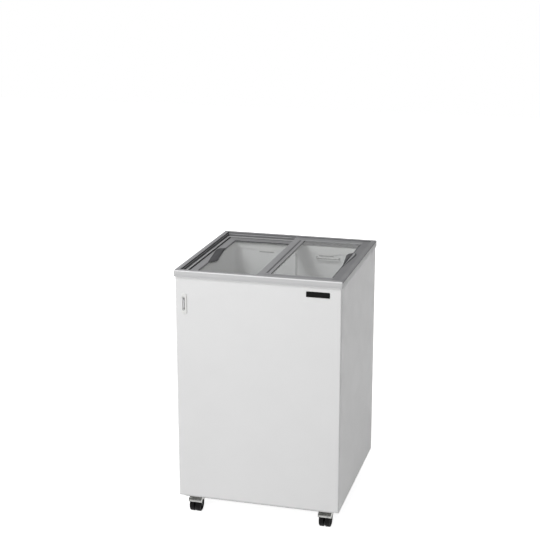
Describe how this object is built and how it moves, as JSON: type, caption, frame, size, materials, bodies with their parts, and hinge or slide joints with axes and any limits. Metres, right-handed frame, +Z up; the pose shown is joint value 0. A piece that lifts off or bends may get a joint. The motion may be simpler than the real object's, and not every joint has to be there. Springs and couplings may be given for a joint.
{
  "type": "ice cream freezer",
  "caption": "Upright-bodied chest freezer on castors with a grey rim and flat sliding glass lids over an insulated storage well.",
  "frame": {"origin": "on the floor, under the middle of the cabinet", "axes": "+Z up, the front panel faces -Y, +X to the right seen from the front"},
  "size_m": [0.553, 0.56, 0.847],
  "materials": {
    "white_paint": "gloss",
    "base_paint": "satin",
    "galvanised_steel": "satin",
    "zinc_plate": "satin",
    "rim_grey": "satin",
    "lid_grey": "satin",
    "grip_grey": "matte",
    "lid_glass": "polished",
    "nylon": "satin",
    "brush_seal": "matte",
    "liner_white": "satin",
    "collar_white": "gloss",
    "foam": "matte",
    "copper": "satin",
    "compressor_black": "satin",
    "rubber_black": "matte",
    "black_plastic": "satin",
    "badge_black": "gloss",
    "bezel_white": "gloss",
    "window_dark": "gloss",
    "wheel_black": "satin",
    "axle_steel": "satin"
  },
  "bodies": {
    "cabinet": {"front_panel": "white_paint", "left_side_panel": "white_paint", "right_side_panel": "white_paint", "rear_panel": "white_paint", "base_pan": "base_paint", "rear_grille": "white_paint", "machine_bay_partition": "galvanised_steel", "front_rim_rail": "rim_grey", "rear_rim_rail": "rim_grey", "left_rim_rail": "rim_grey", "right_rim_rail": "rim_grey", "inner_liner": "liner_white", "liner_collar": "collar_white", "sensor_tube": "zinc_plate", "insulation_foam": "foam", "evaporator_coil": "copper", "panel_screws": "zinc_plate", "thermostat_body": "black_plastic", "cord_gland": "black_plastic", "compressor": "compressor_black", "compressor_grommets": "rubber_black", "mounting_bolts": "zinc_plate", "relay_box": "black_plastic", "condenser_coil": "compressor_black", "condenser_brackets": "galvanised_steel", "filter_drier": "copper", "discharge_pipe": "copper", "capillary_tube": "copper", "suction_pipe": "copper", "badge_plate": "badge_black", "thermometer_bezel": "bezel_white", "thermometer_window": "window_dark", "castor_plates": "zinc_plate"},
    "control_knob": {"thermostat_knob": "black_plastic"},
    "left_lid": {"left_lid_glass": "lid_glass", "left_lid_outer_rail": "lid_grey", "left_lid_inner_rail": "lid_grey", "left_lid_edge_rails": "lid_grey", "left_lid_grip": "grip_grey", "left_lid_glides": "nylon", "left_lid_seal": "brush_seal"},
    "right_lid": {"right_lid_glass": "lid_glass", "right_lid_outer_rail": "lid_grey", "right_lid_inner_rail": "lid_grey", "right_lid_edge_rails": "lid_grey", "right_lid_grip": "grip_grey", "right_lid_glides": "nylon"},
    "front_left_swivel": {"front_left_castor_hood": "zinc_plate"},
    "front_left_wheels": {"front_left_castor_wheels": "wheel_black", "front_left_castor_axle": "axle_steel"},
    "front_right_swivel": {"front_right_castor_hood": "zinc_plate"},
    "front_right_wheels": {"front_right_castor_wheels": "wheel_black", "front_right_castor_axle": "axle_steel"},
    "rear_left_swivel": {"rear_left_castor_hood": "zinc_plate"},
    "rear_left_wheels": {"rear_left_castor_wheels": "wheel_black", "rear_left_castor_axle": "axle_steel"},
    "rear_right_swivel": {"rear_right_castor_hood": "zinc_plate"},
    "rear_right_wheels": {"rear_right_castor_wheels": "wheel_black", "rear_right_castor_axle": "axle_steel"}
  },
  "joints": [
    {"name": "left_lid_slide", "type": "slide", "parent": "cabinet", "child": "left_lid", "axis": [1, 0, 0], "range_m": [-0.0055, 0.2285]},
    {"name": "right_lid_slide", "type": "slide", "parent": "cabinet", "child": "right_lid", "axis": [-1, 0, 0], "range_m": [0, 0.25]},
    {"name": "thermostat_knob_turn", "type": "hinge", "parent": "cabinet", "child": "control_knob", "pos_m": [0.195, 0.262, 0.206], "axis": [0, 1, 0], "range_deg": [-135, 135]},
    {"name": "front_left_swivel_turn", "type": "hinge", "parent": "cabinet", "child": "front_left_swivel", "pos_m": [-0.2225, -0.229, 0.059], "axis": [0, 0, 1], "continuous": true},
    {"name": "front_left_wheels_roll", "type": "hinge", "parent": "front_left_swivel", "child": "front_left_wheels", "pos_m": [-0.2225, -0.241, 0.025], "axis": [1, 0, 0], "continuous": true},
    {"name": "front_right_swivel_turn", "type": "hinge", "parent": "cabinet", "child": "front_right_swivel", "pos_m": [0.2225, -0.229, 0.059], "axis": [0, 0, 1], "continuous": true},
    {"name": "front_right_wheels_roll", "type": "hinge", "parent": "front_right_swivel", "child": "front_right_wheels", "pos_m": [0.2225, -0.241, 0.025], "axis": [1, 0, 0], "continuous": true},
    {"name": "rear_left_swivel_turn", "type": "hinge", "parent": "cabinet", "child": "rear_left_swivel", "pos_m": [-0.2225, 0.229, 0.059], "axis": [0, 0, 1], "continuous": true},
    {"name": "rear_left_wheels_roll", "type": "hinge", "parent": "rear_left_swivel", "child": "rear_left_wheels", "pos_m": [-0.2225, 0.217, 0.025], "axis": [1, 0, 0], "continuous": true},
    {"name": "rear_right_swivel_turn", "type": "hinge", "parent": "cabinet", "child": "rear_right_swivel", "pos_m": [0.2225, 0.229, 0.059], "axis": [0, 0, 1], "continuous": true},
    {"name": "rear_right_wheels_roll", "type": "hinge", "parent": "rear_right_swivel", "child": "rear_right_wheels", "pos_m": [0.2225, 0.217, 0.025], "axis": [1, 0, 0], "continuous": true}
  ]
}
